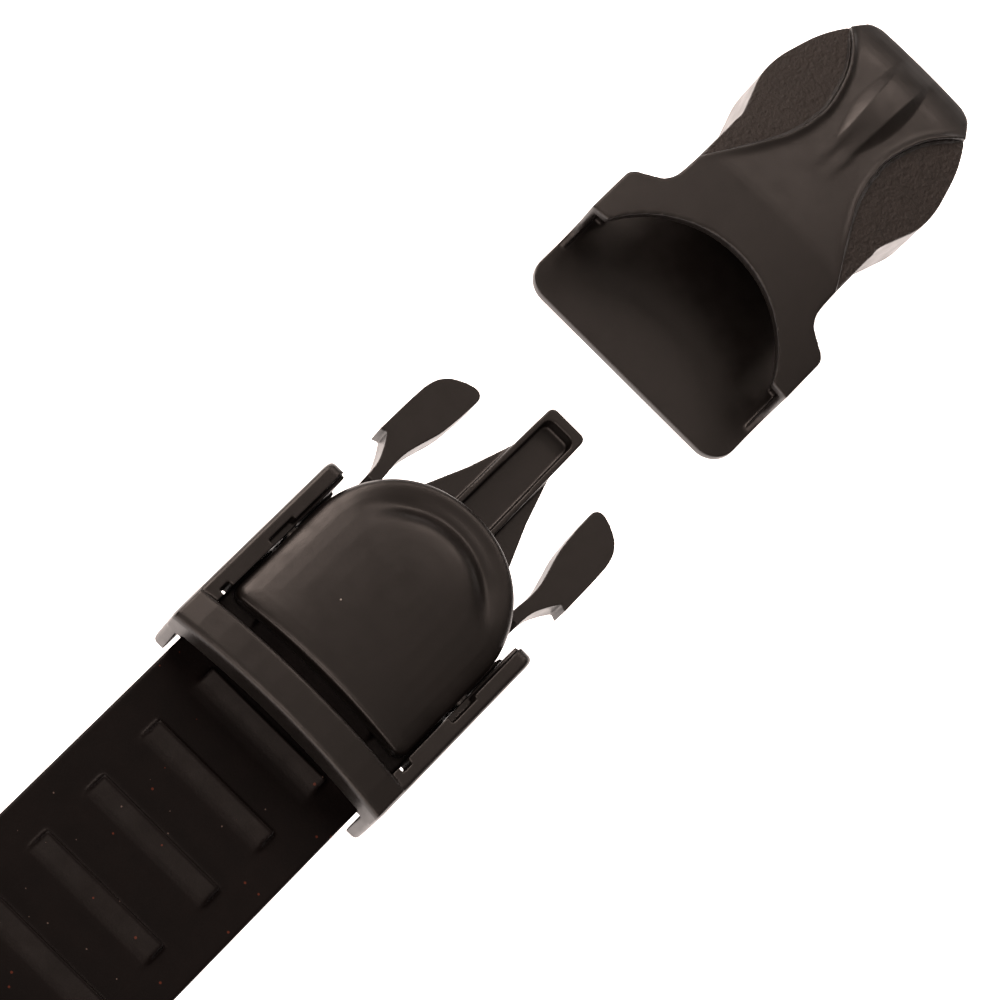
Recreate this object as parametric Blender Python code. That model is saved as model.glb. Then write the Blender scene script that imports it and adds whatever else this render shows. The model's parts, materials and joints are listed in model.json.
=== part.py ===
"""Side-release strap buckle: a strap slider with a thumb lever, and the socket that its latch arms snap into.

Frame of the model: +X runs from the strap to the socket, +Y to the left, +Z up. The origin is on the strap's
underside, below the middle of the slider's rear face. Dimensions are in millimetres. MM turns them to metres.
"""

import math

import bmesh
import bpy
from mathutils import Matrix, Vector

MM = 0.001
GAP = 0.3  # kept between touching pieces

# strap
STRAP_HALF_WIDTH = 12.5
STRAP_THICKNESS = 2.6
LAYER_GAP = 0.4
RIB_HALF_WIDTH = 8.0
RIB_HEIGHT = 1.2
RIB_PROFILE = [(3.6, 0.0), (2.7, 0.1), (1.9, 0.32), (1.1, 0.66), (0.3, 1.0), (0.0, 0.92)]  # back, height
RIB_PITCH = 8.3
RIB_FIRST_X = 1.5  # steep face of the rib under the crossbar
RIB_COUNT_OUTSIDE = 7
TAIL_END_X = -55.0
LOAD_END_X = -60.0

# bar that the strap loops round
BAR_RADIUS = 1.2
BAR_X = 11.5
BAR_Z = STRAP_THICKNESS + BAR_RADIUS + GAP

# slider frame
HALF_WIDTH = 14.5
CHEEK_INNER = 12.3
FRAME_LENGTH = 25.0
FRAME_BOTTOM = 2.8
FRAME_TOP = 11.5
SLOT_HALF_WIDTH = 13.0
SLOT_TOP = 8.6
SLOT_END = 15.7  # the strap's way is widened as far as the loop's front
CROSSBAR_REAR = 0.0
CROSSBAR_FRONT = 4.4
CROSSBAR_ARCH = 2.1
CROSSBAR_DEPTH = 2.9
FLAP_RELIEF_X = 16.8
FLAP_RELIEF_Z = 4.6
EAR_RELIEF = [(-3.0, 0.0), (-1.8, 0.35), (-0.9, 0.95), (-0.3, 1.7), (0.0, 2.8)]  # clears the ear walls
DECK_REAR = 19.6
DECK_FRONT = 27.0
DECK_TOP = 6.2

# centre tongue
TONGUE_TIP_X = 49.5
TONGUE_ROOT_HALF = 2.8
TONGUE_TIP_HALF = 2.5
TONGUE_WALL = 0.65
TONGUE_TOP = 6.9
TROUGH_START = 29.0
WEB_TOP = 5.6

# latch arms
ARM_PIVOT = (23.8, 10.4)
ARM_ROOT_RADIUS = 1.2
ARM_BOTTOM = 4.7
ARM_TOP = 8.2
ARM_ROOT_TOP = 6.6

# thumb lever
LEVER_HALF_WIDTH = 12.0
LEVER_REAR = 6.4
LEVER_NOSE = 31.8
LEVER_RIM_BOTTOM = 8.9
LEVER_UNDERSIDE = 9.9
LEVER_TOP = 11.3
LEVER_CROWN = 2.1  # rise of the top from the sides to the middle
LEVER_UNDER_CROWN = 1.4
AXLE_X = 17.2
AXLE_Z = 7.6
AXLE_RADIUS = 1.0
AXLE_HALF_LENGTH = 13.45
HUB_RADIUS = 1.9
HUB_INNER = 9.2
HUB_OUTER = 11.6
PAWL_REAR = 9.6
PAWL_FRONT = 10.9
PAWL_TIP = 8.6
PAWL_HALF_WIDTH = 8.5

# torsion spring
SPRING_COIL_RADIUS = 1.75
SPRING_WIRE_RADIUS = 0.35
SPRING_TURNS = 3
SPRING_PITCH = 1.0

# socket
TALL = 15.0  # above everything: uncut height of the solids that the crown trims
SOCKET_X = 67.5  # front of the ears with the halves apart
SOCKET_BOTTOM = 2.2
FLOOR_TOP = 4.2
EAR_INNER = 12.8
EAR_LENGTH = 7.1
EAR_WALL_END = 5.6
EAR_SWEEP_WIDTH = 0.8
EAR_SETBACK = 3.4
COVER_THICKNESS = 1.2  # over the vaulted mouth
COVER_UNDERSIDE = 9.0  # behind it
COVER_STEP = 9.8
MOUTH_HALF_WIDTH = 12.3
MOUTH_DEPTH = 7.9
WAIST_HALF = 10.4
FLAP_LENGTH = 7.9
FLAP_CORNER = 3.0
SOCKET_LENGTH = 43.5
BLOCK_START = 22.0
TOP_SLOPE_START = 15.0
TOP_SLOPE = 0.06
SOCKET_CROWN = 1.3
END_DROP_START = 37.5
END_DROP = 1.2
BELLY_START = 26.0
BELLY_SLOPE = 0.12
FIN_INNER = 3.4
FIN_OUTER = 4.3
FIN_START = 17.5
TONGUE_POCKET_END = 26.6
PANEL_THICKNESS = 0.5
PANEL_STEP = 0.4  # how far the grip panels lie below the spine
POST_A = 34.0
POST_SEAT_RADIUS = 4.6
POST_SEAT_TOP = 7.6
BUSH_INNER = 2.9


# ---------------------------------------------------------------- scene and materials

def clear_scene():
    for obj in list(bpy.data.objects):
        bpy.data.objects.remove(obj, do_unlink=True)


def plastic(name, colour, roughness, metallic=0.0):
    mat = bpy.data.materials.new(name)
    mat.use_nodes = True
    shader = mat.node_tree.nodes["Principled BSDF"]
    shader.inputs["Base Color"].default_value = (*colour, 1.0)
    shader.inputs["Roughness"].default_value = roughness
    shader.inputs["Metallic"].default_value = metallic
    return mat


def black_nylon():
    return plastic("black_nylon", (0.032, 0.024, 0.022), 0.42)


def strap_rubber():
    return plastic("strap_rubber", (0.016, 0.011, 0.010), 0.7)


def grained_panel():
    return plastic("grained_panel", (0.026, 0.02, 0.018), 0.6)


def steel():
    return plastic("steel", (0.55, 0.55, 0.56), 0.3, 1.0)


def bush_plastic():
    return plastic("bush_plastic", (0.05, 0.05, 0.05), 0.5)


# ---------------------------------------------------------------- mesh helpers

def add_object(name, bm, material=None):
    bmesh.ops.recalc_face_normals(bm, faces=bm.faces)
    mesh = bpy.data.meshes.new(name)
    bm.to_mesh(mesh)
    bm.free()
    obj = bpy.data.objects.new(name, mesh)
    bpy.context.collection.objects.link(obj)
    if material is not None:
        mesh.materials.append(material)
    return obj


def loft(name, rings, material=None):
    """Joins closed rings of points, given in millimetres, and caps both ends."""
    bm = bmesh.new()
    loops = [[bm.verts.new(Vector(p) * MM) for p in ring] for ring in rings]
    for low, high in zip(loops, loops[1:]):
        for i in range(len(low)):
            j = (i + 1) % len(low)
            bm.faces.new((low[i], low[j], high[j], high[i]))
    bm.faces.new(loops[0])
    bm.faces.new(loops[-1])
    return add_object(name, bm, material)


def height_at(height, x):
    return height(x) if callable(height) else height


def prism(name, outline, low, high, material=None):
    """Stands an XY outline up between two heights, each a number or a function of x."""
    rings = [[(x, y, height_at(level, x)) for x, y in outline] for level in (low, high)]
    return loft(name, rings, material)


def side_prism(name, profile, y_low, y_high, material=None):
    """Runs an XZ profile along Y."""
    return loft(name, [[(x, y, z) for x, z in profile] for y in (y_low, y_high)], material)


def box(name, low, high, material=None):
    outline = [(low[0], low[1]), (high[0], low[1]), (high[0], high[1]), (low[0], high[1])]
    return prism(name, outline, low[2], high[2], material)


def cylinder_y(name, x, z, radius, y_low, y_high, segments=32, material=None):
    profile = [
        (x + radius * math.cos(t), z + radius * math.sin(t))
        for t in (2 * math.pi * i / segments for i in range(segments))
    ]
    return side_prism(name, profile, y_low, y_high, material)


def disc_outline(x, y, radius, segments=32):
    return [
        (x + radius * math.cos(t), y + radius * math.sin(t))
        for t in (2 * math.pi * i / segments for i in range(segments))
    ]


def arc(x, y, radius, start, end, steps):
    """Points round a circle, with the angles in degrees and both ends in."""
    return [
        (x + radius * math.cos(math.radians(t)), y + radius * math.sin(math.radians(t)))
        for t in (start + (end - start) * i / steps for i in range(steps + 1))
    ]


def mirrored(half):
    """Closes a half outline, given along +Y from front to back, with its mirror image."""
    return half + [(x, -y) for x, y in reversed(half)]


def boolean(obj, other, operation):
    """Leaves a live Boolean on obj and turns the other object into its hidden cutter."""
    mod = obj.modifiers.new(other.name, "BOOLEAN")
    mod.operation = operation
    mod.solver = "EXACT"
    mod.object = other
    other.hide_render = True
    other.display_type = "WIRE"
    other.parent = obj


def bevel(obj, width, segments=2, angle=40):
    mod = obj.modifiers.new("rounded_edges", "BEVEL")
    mod.width = width * MM
    mod.segments = segments
    mod.limit_method = "ANGLE"
    mod.angle_limit = math.radians(angle)
    mod.use_clamp_overlap = True


def smooth(obj, angle=35):
    obj.data.shade_smooth()
    obj.data.set_sharp_from_angle(angle=math.radians(angle))


def set_origin(obj, x, y, z):
    """Moves the object's origin to a point in millimetres, leaving its shape in place."""
    point = Vector((x, y, z)) * MM
    obj.data.transform(Matrix.Translation(-point))
    obj.location = point
    for child in obj.children:
        child.matrix_parent_inverse = Matrix.Translation(-point)


# ---------------------------------------------------------------- strap

def tail_middle(x):
    """Height of the middle of the tail layer: flat in the slot, then up on to the bar."""
    flat = STRAP_THICKNESS * 1.5 + LAYER_GAP
    top = BAR_Z + BAR_RADIUS + GAP + STRAP_THICKNESS / 2
    t = min(max((x - 0.5) / (BAR_X - 1.0), 0.0), 1.0)
    return flat + (top - flat) * (1 - math.cos(math.pi * t)) / 2


def tail_point(x, offset):
    """A point at a distance above the tail's middle line, square to it."""
    step = 0.05
    slope = (tail_middle(x + step) - tail_middle(x - step)) / (2 * step)
    length = math.hypot(1, slope)
    return x - offset * slope / length, tail_middle(x) + offset / length


def make_strap(material):
    half = STRAP_THICKNESS / 2
    climb = [0.5 + (BAR_X - 0.5) * i / 10 for i in range(11)]
    outer = BAR_RADIUS + GAP + STRAP_THICKNESS
    inner = BAR_RADIUS + GAP
    profile = [(TAIL_END_X, tail_middle(0) + half)]
    profile += [tail_point(x, half) for x in climb[:-1]]
    profile += arc(BAR_X, BAR_Z, outer, 90, -90, 14)
    profile += [(LOAD_END_X, 0.0), (LOAD_END_X, STRAP_THICKNESS)]
    profile += arc(BAR_X, BAR_Z, inner, -90, 90, 14)
    profile += [tail_point(x, -half) for x in reversed(climb[:-1])]
    profile += [(TAIL_END_X, tail_middle(0) - half)]
    strap = side_prism("strap", profile, -STRAP_HALF_WIDTH, STRAP_HALF_WIDTH, material)
    for n in range(-1, RIB_COUNT_OUTSIDE):
        boolean(strap, make_rib(n), "UNION")
    boolean(strap, tail_corner_cutter(1), "DIFFERENCE")
    boolean(strap, tail_corner_cutter(-1), "DIFFERENCE")
    smooth(strap)
    return strap


def make_rib(n):
    """A hollow-backed wedge with its steep face towards the bar. It follows the tail's slope."""
    front = RIB_FIRST_X - RIB_PITCH * n
    half = STRAP_THICKNESS / 2
    sunk = half - 0.6
    profile = [tail_point(front - RIB_PROFILE[0][0], sunk)]
    profile += [tail_point(front - back, half + RIB_HEIGHT * share) for back, share in RIB_PROFILE]
    profile += [tail_point(front, sunk)]
    return side_prism(f"rib_{n + 2}", profile, -RIB_HALF_WIDTH, RIB_HALF_WIDTH)


def tail_corner_cutter(side):
    """Rounds one corner of the tail's free end, and leaves the load layer whole."""
    radius = 5.0
    corner = (TAIL_END_X - 1, STRAP_HALF_WIDTH + 1)
    centre = (TAIL_END_X + radius, STRAP_HALF_WIDTH - radius)
    outline = [corner, (TAIL_END_X - 1, centre[1])]
    outline += arc(centre[0], centre[1], radius, 180, 90, 8)
    outline += [(centre[0], STRAP_HALF_WIDTH + 1)]
    outline = [(x, side * y) for x, y in outline]
    low = STRAP_THICKNESS + LAYER_GAP / 2
    return prism(f"tail_corner_{side}", outline, low, low + STRAP_THICKNESS + 1)


# ---------------------------------------------------------------- slider frame

def cheek_profile(inset):
    """Side view of a cheek, drawn in by an inset, with the step over the socket's flap."""
    rear, front = inset, FRAME_LENGTH - inset
    low, step, top = FRAME_BOTTOM + inset, FLAP_RELIEF_Z + inset, FRAME_TOP - inset
    relief = FLAP_RELIEF_X - inset
    profile = [(rear, low + 0.6), (rear + 0.6, low), (relief - 0.6, low), (relief, low + 0.6), (relief, step)]
    profile += [(front + dx, step + dz) for dx, dz in EAR_RELIEF]
    profile += arc(front - 1.4, top - 1.4, 1.4, 0, 90, 5)
    profile += arc(rear + 0.6, top - 0.6, 0.6, 90, 180, 3)
    return profile


def make_cheek(side, material):
    """Flat inner face, and an outer face whose rim is rounded off."""
    layers = [(CHEEK_INNER, 0.0), (HALF_WIDTH - 0.5, 0.0), (HALF_WIDTH - 0.15, 0.15), (HALF_WIDTH, 0.5)]
    rings = [[(x, side * y, z) for x, z in cheek_profile(inset)] for y, inset in layers]
    return loft(f"cheek_{side}", rings, material)


def crossbar_ring(y):
    top = FRAME_TOP + CROSSBAR_ARCH * (1 - (y / HALF_WIDTH) ** 2)
    low = top - CROSSBAR_DEPTH
    ring = [(CROSSBAR_FRONT, low)]
    ring += arc(CROSSBAR_FRONT - 0.6, top - 0.6, 0.6, 0, 90, 3)
    ring += arc(CROSSBAR_REAR + 0.7, top - 0.7, 0.7, 90, 180, 3)
    ring += [(CROSSBAR_REAR, low)]
    return [(x, y, z) for x, z in ring]


def make_crossbar():
    reach = HALF_WIDTH - 0.2
    steps = 12
    return loft("crossbar", [crossbar_ring(-reach + 2 * reach * i / steps) for i in range(steps + 1)])


def make_deck():
    """Plate between the cheeks under the lever's nose, with a ledge past each hub, narrowed in front."""
    ledge = HUB_OUTER + GAP
    half = [(DECK_REAR, ledge), (SLOT_END - 0.1, ledge)]
    half += [(SLOT_END - 0.1, CHEEK_INNER + 0.2), (FRAME_LENGTH - 0.5, CHEEK_INNER + 0.2)]
    half += [(FRAME_LENGTH - 0.5, CHEEK_INNER - 0.3), (DECK_FRONT, 9.0)]
    return prism("deck", mirrored(half), FLAP_RELIEF_Z + 0.05, DECK_TOP)


def make_ledge_lip(side):
    """Lip below the deck's ledge that closes the gap in front of the strap's loop."""
    low = (SLOT_END - 0.1, side * (HUB_OUTER + GAP), FRAME_BOTTOM + 0.2)
    high = (FLAP_RELIEF_X - 0.3, side * (CHEEK_INNER + 0.2), DECK_TOP - 0.1)
    return box(f"ledge_lip_{side}", low, high)


def arm_notch(side):
    """Clearance in the deck round one latch arm's root."""
    x, y = ARM_PIVOT
    reach = ARM_ROOT_RADIUS + GAP
    outline = arc(x, y, reach, 90, 270, 10)
    outline += [(DECK_FRONT + 1, y - reach - 1.4), (DECK_FRONT + 1, y + reach + 0.6)]
    outline = [(px, side * py) for px, py in outline]
    return prism(f"arm_notch_{side}", outline, FLAP_RELIEF_Z - 1, DECK_TOP + 1)


def make_webs():
    outline = [(DECK_FRONT - 2, 8.2), (DECK_FRONT, 8.2), (32.0, 6.6), (38.0, 4.3), (45.0, 2.2)]
    return prism("webs", mirrored(outline), FLAP_RELIEF_Z + 0.15, WEB_TOP)


def make_tongue():
    tip = 0.8
    outline = [(DECK_FRONT - 2, -TONGUE_ROOT_HALF), (DECK_FRONT - 2, TONGUE_ROOT_HALF)]
    outline += arc(TONGUE_TIP_X - tip, TONGUE_TIP_HALF - tip, tip, 90, 0, 4)
    outline += arc(TONGUE_TIP_X - tip, -TONGUE_TIP_HALF + tip, tip, 0, -90, 4)
    return prism("tongue", outline, FLAP_RELIEF_Z + 0.1, TONGUE_TOP)


def tongue_trough():
    """Open channel along the tongue, with two round corners in front."""
    half = TONGUE_TIP_HALF - TONGUE_WALL
    corner = 0.8
    front = TONGUE_TIP_X - 1.3 - corner
    outline = [(TROUGH_START, half + 0.3), (TROUGH_START, -half - 0.3)]
    outline += arc(front, -half + corner, corner, -90, 0, 4)
    outline += arc(front, half - corner, corner, 0, 90, 4)
    return prism("tongue_trough", outline, FLAP_RELIEF_Z + 0.6, TONGUE_TOP + 1)


def cheek_recess(side):
    """The deep notch beside the lever and the shallow step in front of it."""
    low = AXLE_Z + AXLE_RADIUS + 1.2
    deep = [(13.2, CHEEK_INNER - 1), (13.2, CHEEK_INNER + 0.8), (17.0, CHEEK_INNER + 0.8)]
    deep += [(17.0, CHEEK_INNER + 0.4), (FRAME_LENGTH + 1, CHEEK_INNER + 0.4)]
    deep += [(FRAME_LENGTH + 1, CHEEK_INNER - 1)]
    outline = [(x, side * y) for x, y in deep]
    return prism(f"cheek_recess_{side}", outline, low, FRAME_TOP + 1)


def corner_pocket(side):
    """Opens the cheek beside the lever's rear corner, down to the gap at the strap's edge."""
    low = (LEVER_REAR - 0.9, side * (CHEEK_INNER - 1), SLOT_TOP - 1)
    high = (LEVER_REAR + 0.5, side * (SLOT_HALF_WIDTH - 0.05), FRAME_TOP + 1)
    return box(f"corner_pocket_{side}", low, high)


def make_frame(material):
    frame = make_cheek(1, material)
    frame.name = "slider_frame"
    frame.data.name = "slider_frame"
    boolean(frame, make_cheek(-1, material), "UNION")
    boolean(frame, make_crossbar(), "UNION")
    boolean(frame, make_deck(), "UNION")
    boolean(frame, make_ledge_lip(1), "UNION")
    boolean(frame, make_ledge_lip(-1), "UNION")
    boolean(frame, make_webs(), "UNION")
    boolean(frame, make_tongue(), "UNION")
    boolean(frame, tongue_trough(), "DIFFERENCE")
    way_low = (-1, -SLOT_HALF_WIDTH, FRAME_BOTTOM - 1)
    slot = box("strap_slot", way_low, (SLOT_END, SLOT_HALF_WIDTH, SLOT_TOP))
    boolean(frame, slot, "DIFFERENCE")
    for side in (1, -1):
        boolean(frame, arm_notch(side), "DIFFERENCE")
        boolean(frame, cheek_recess(side), "DIFFERENCE")
        boolean(frame, corner_pocket(side), "DIFFERENCE")
    axle_reach = AXLE_HALF_LENGTH + GAP
    bore = cylinder_y("axle_bore", AXLE_X, AXLE_Z, AXLE_RADIUS + GAP, -axle_reach, axle_reach)
    boolean(frame, bore, "DIFFERENCE")
    bar_bore = cylinder_y("bar_bore", BAR_X, BAR_Z, BAR_RADIUS + GAP, -axle_reach, axle_reach)
    boolean(frame, bar_bore, "DIFFERENCE")
    smooth(frame)
    return frame


# ---------------------------------------------------------------- latch arms

def arm_outline():
    """Plan of the +Y arm: a thin neck, a square hook shoulder and a long rounded thumb pad."""
    x, y = ARM_PIVOT
    outline = arc(x, y, ARM_ROOT_RADIUS, 90, 270, 8)
    outline += [(29.5, 9.6), (31.2, 9.75), (33.0, 9.65), (35.0, 9.2), (37.3, 8.65), (40.0, 8.4), (42.6, 8.3)]
    outline += arc(42.9, 9.3, 1.0, -80, 25, 4)
    outline += [(43.5, 10.6), (42.7, 11.9), (41.6, 12.8), (40.2, 13.25), (38.0, 13.4), (32.6, 13.46)]
    outline += [(33.0, 12.66), (31.4, 11.8), (29.5, 11.0)]
    return outline


def make_arm(side, name, material):
    outline = [(x, side * y) for x, y in arm_outline()]
    arm = prism(name, outline, ARM_BOTTOM, ARM_TOP, material)
    step = side_prism(
        f"{name}_step",
        [(20, ARM_ROOT_TOP), (26.1, ARM_ROOT_TOP), (28.4, ARM_TOP + 0.5), (20, ARM_TOP + 0.5)],
        *sorted((side * 5.0, side * 16.0)),
    )
    boolean(arm, step, "DIFFERENCE")
    bevel(arm, 0.3)
    set_origin(arm, ARM_PIVOT[0], side * ARM_PIVOT[1], ARM_BOTTOM)
    smooth(arm)
    return arm


# ---------------------------------------------------------------- thumb lever

def lever_arch(x, y):
    """How far the lever's arch rises at a point: full at the rear, and fading towards the nose."""
    fade = max(x - AXLE_X, 0.0) / (LEVER_NOSE - AXLE_X)
    return (1 - (y / LEVER_HALF_WIDTH) ** 2) * (1 - 0.7 * fade**2)


def lever_ring(inset, level, crown):
    """One contour of the lever: straight sides, a half-round nose and round rear corners."""
    radius = LEVER_HALF_WIDTH - inset
    centre = LEVER_NOSE - LEVER_HALF_WIDTH
    rear = LEVER_REAR + inset
    ring = arc(centre, 0, radius, -90, 90, 20)
    corner = max(1.4 - inset, 0.3)
    ring += arc(rear + corner, radius - corner, corner, 90, 180, 3)
    steps = 7
    edge = radius - corner
    ring += [(rear, edge - 2 * edge * i / steps) for i in range(1, steps)]
    ring += arc(rear + corner, -radius + corner, corner, 180, 270, 3)
    return [(x, y, level + crown * lever_arch(x, y)) for x, y in ring]


def make_lever(material):
    wall = 1.7
    under = [(9.0, LEVER_UNDERSIDE), (wall, LEVER_UNDERSIDE)]
    under += [(wall, LEVER_RIM_BOTTOM), (0.7, LEVER_RIM_BOTTOM)]
    over = [(0.1, -2.0), (0.0, -1.2), (0.35, -0.55), (1.0, -0.22), (2.2, -0.05), (5.0, 0.0), (9.0, 0.0)]
    rings = [lever_ring(inset, level, LEVER_UNDER_CROWN) for inset, level in under]
    rings += [lever_ring(inset, LEVER_TOP + drop, LEVER_CROWN) for inset, drop in over]
    lever = loft("thumb_lever", rings, material)
    pawl_top = LEVER_UNDERSIDE + LEVER_UNDER_CROWN + 0.4
    pawl_profile = [
        (PAWL_REAR, pawl_top),
        (PAWL_REAR, PAWL_TIP + 0.1),
        (PAWL_REAR + 0.4, PAWL_TIP),
        (PAWL_REAR + 0.9, PAWL_TIP),
        (PAWL_FRONT + 0.6, LEVER_UNDERSIDE + 0.5),
        (PAWL_FRONT + 0.6, pawl_top),
    ]
    boolean(lever, side_prism("pawl", pawl_profile, -PAWL_HALF_WIDTH, PAWL_HALF_WIDTH), "UNION")
    for side in (1, -1):
        boolean(lever, make_hub(side), "UNION")
    reach = LEVER_HALF_WIDTH + 1
    bore = cylinder_y("hub_bore", AXLE_X, AXLE_Z, AXLE_RADIUS + GAP, -reach, reach)
    boolean(lever, bore, "DIFFERENCE")
    set_origin(lever, AXLE_X, 0, AXLE_Z)
    smooth(lever)
    return lever


def make_hub(side):
    profile = arc(AXLE_X, AXLE_Z, HUB_RADIUS, 180, 360, 12)
    profile += [(AXLE_X + HUB_RADIUS + 0.8, LEVER_UNDERSIDE + 0.8)]
    profile += [(AXLE_X - HUB_RADIUS - 0.8, LEVER_UNDERSIDE + 0.8)]
    return side_prism(f"hub_{side}", profile, *sorted((side * HUB_INNER, side * HUB_OUTER)))


def make_pin(name, x, z, radius, material):
    """A steel pin with small end chamfers."""
    end = AXLE_HALF_LENGTH
    steps = [(-end, radius - 0.2), (-end + 0.2, radius), (end - 0.2, radius), (end, radius - 0.2)]
    rings = [[(px, y, pz) for px, pz in disc_outline(x, z, r, 28)] for y, r in steps]
    pin = loft(name, rings, material)
    smooth(pin)
    return pin


def spring_path():
    """Wire route: a leg up under the lever, the coil round the axle, and a leg down on the deck."""
    turn_steps = 16
    width = SPRING_PITCH * SPRING_TURNS
    start = math.radians(60)
    coil = []
    for i in range(SPRING_TURNS * turn_steps + 1):
        angle = start + 2 * math.pi * i / turn_steps
        y = -width / 2 + width * i / (SPRING_TURNS * turn_steps)
        x = AXLE_X + SPRING_COIL_RADIUS * math.cos(angle)
        z = AXLE_Z + SPRING_COIL_RADIUS * math.sin(angle)
        coil.append((x, y, z))
    leg_x = AXLE_X + 6.6
    under = LEVER_UNDERSIDE + LEVER_UNDER_CROWN * lever_arch(leg_x, -width / 2)
    upper = [(leg_x, -width / 2, under - GAP - SPRING_WIRE_RADIUS)]
    lower = [(AXLE_X + 6.2, width / 2, DECK_TOP + GAP + SPRING_WIRE_RADIUS)]
    return upper + coil + lower


def make_spring(material):
    curve = bpy.data.curves.new("lever_spring", "CURVE")
    curve.dimensions = "3D"
    curve.bevel_depth = SPRING_WIRE_RADIUS * MM
    curve.bevel_resolution = 1
    curve.use_fill_caps = True
    points = spring_path()
    spline = curve.splines.new("POLY")
    spline.points.add(len(points) - 1)
    for point, (x, y, z) in zip(spline.points, points):
        point.co = (x * MM, y * MM, z * MM, 1.0)
    curve.materials.append(material)
    spring = bpy.data.objects.new("lever_spring", curve)
    bpy.context.collection.objects.link(spring)
    return spring


# ---------------------------------------------------------------- socket

def at_socket(points):
    return [(SOCKET_X + a, y) for a, y in points]


def socket_top(x, y):
    """Top of the socket: crowned across, and falling to the far end, where it rounds over."""
    a = x - SOCKET_X
    fall = TOP_SLOPE * max(a - TOP_SLOPE_START, 0.0)
    end = END_DROP * (max(a - END_DROP_START, 0.0) / (SOCKET_LENGTH - END_DROP_START)) ** 2
    return FRAME_TOP + SOCKET_CROWN * (1 - (y / HALF_WIDTH) ** 2) - fall - end


def make_crown(name, drop):
    """Everything below the socket's top surface, lowered by a drop."""
    reach = HALF_WIDTH + 1.5
    across = [-reach + 2 * reach * i / 16 for i in range(17)]
    along = [-FLAP_LENGTH - 2, 0, 5, 10, TOP_SLOPE_START, 21, 27, 33]
    along += [END_DROP_START, 40, 42, SOCKET_LENGTH, 46]
    rings = []
    for a in along:
        x = SOCKET_X + a
        ring = [(x, y, socket_top(x, y) - drop) for y in across]
        rings.append([(x, reach, 0.0)] + ring[::-1] + [(x, -reach, 0.0)])
    return loft(name, rings)


def socket_belly(x):
    return SOCKET_BOTTOM + BELLY_SLOPE * max(x - SOCKET_X - BELLY_START, 0.0)


def shoulder_half():
    """Outer edge of the rear block, from the waist to the rounded far end."""
    edge = [(BLOCK_START, WAIST_HALF), (24.5, 11.2), (27.5, 12.1), (30.5, 12.1), (34.0, 11.4)]
    edge += [(37.0, 10.5), (40.3, 8.9), (42.4, 7.2), (SOCKET_LENGTH, 5.0)]
    return edge


def front_half():
    """Outer edge of the ears and waist, from the ear's front to the rear block."""
    return [(0.0, HALF_WIDTH), (EAR_LENGTH, HALF_WIDTH), (8.3, 13.2), (9.2, 11.6), (10.4, WAIST_HALF + 0.1)]


def make_cover(material):
    """Top plate with the arc of the mouth cut in its front edge."""
    radius = (MOUTH_HALF_WIDTH**2 + MOUTH_DEPTH**2) / (2 * MOUTH_DEPTH)
    centre = MOUTH_DEPTH - radius
    swing = math.degrees(math.asin(MOUTH_HALF_WIDTH / radius))
    mouth = arc(centre, 0, radius, -swing, swing, 18)
    half = front_half() + [(TOP_SLOPE_START, WAIST_HALF)] + shoulder_half()
    back = [(a, -y) for a, y in reversed(half)]
    outline = at_socket(mouth + half + back)
    return prism("socket_shell", outline, COVER_UNDERSIDE, TALL, material)


def make_floor():
    """Bottom plate: the flap in front of the mouth, bevelled below, and the floor under the waist."""
    rings = []
    for inset, z in ((0.8, SOCKET_BOTTOM), (0.0, SOCKET_BOTTOM + 0.8), (0.0, FLOOR_TOP)):
        half = arc(-FLAP_LENGTH + FLAP_CORNER, HALF_WIDTH - FLAP_CORNER, FLAP_CORNER - inset, 180, 90, 5)
        half += front_half()[1:] + [(BLOCK_START + 1, WAIST_HALF)]
        rings.append([(x, y, z) for x, y in at_socket(mirrored(half))])
    return loft("floor_plate", rings)


def make_ear_wall(side):
    """Side wall of the mouth. Its thin outer part sweeps in front from the ear's tip down to the flap."""
    floor = FLOOR_TOP - 0.5
    back = SOCKET_X + EAR_WALL_END
    sweep = [(0.0, TALL), (0.0, 7.0), (-0.25, 6.0), (-0.8, 5.2), (-1.7, 4.5), (-3.0, floor)]
    profile = [(SOCKET_X + a, z) for a, z in sweep] + [(back, floor), (back, TALL)]
    low, high = sorted((side * (HALF_WIDTH - EAR_SWEEP_WIDTH), side * HALF_WIDTH))
    wall = side_prism(f"ear_wall_{side}", profile, low, high)
    low, high = sorted((side * EAR_INNER, side * (HALF_WIDTH - 0.2)))
    start = SOCKET_X + EAR_SETBACK
    boolean(wall, box(f"ear_root_{side}", (start, low, floor), (back, high, TALL)), "UNION")
    return wall


def make_block():
    """Solid rear part with the shoulders."""
    outline = at_socket(mirrored(shoulder_half()))
    return prism("rear_block", outline, socket_belly, TALL)


def make_fin(side):
    low, high = sorted((side * FIN_INNER, side * FIN_OUTER))
    start = SOCKET_X + FIN_START
    end = SOCKET_X + BLOCK_START + 1
    return box(f"fin_{side}", (start, low, FLOOR_TOP - 0.5), (end, high, COVER_UNDERSIDE + 0.5))


def panel_inner(gap):
    """The hourglass spine's edge, drawn outwards by a gap, from the waist to the far end."""
    spine = [(15.8, 9.1), (19.0, 7.3), (23.5, 5.3), (27.5, 4.5), (31.0, 4.6), (35.8, 6.0)]
    first = (13.4 + 1.6 * gap, WAIST_HALF)
    last = (40.3 - 2 * gap, 8.9 + gap)
    return [first] + [(a + 0.3 * gap, y + gap) for a, y in spine] + [last]


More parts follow.
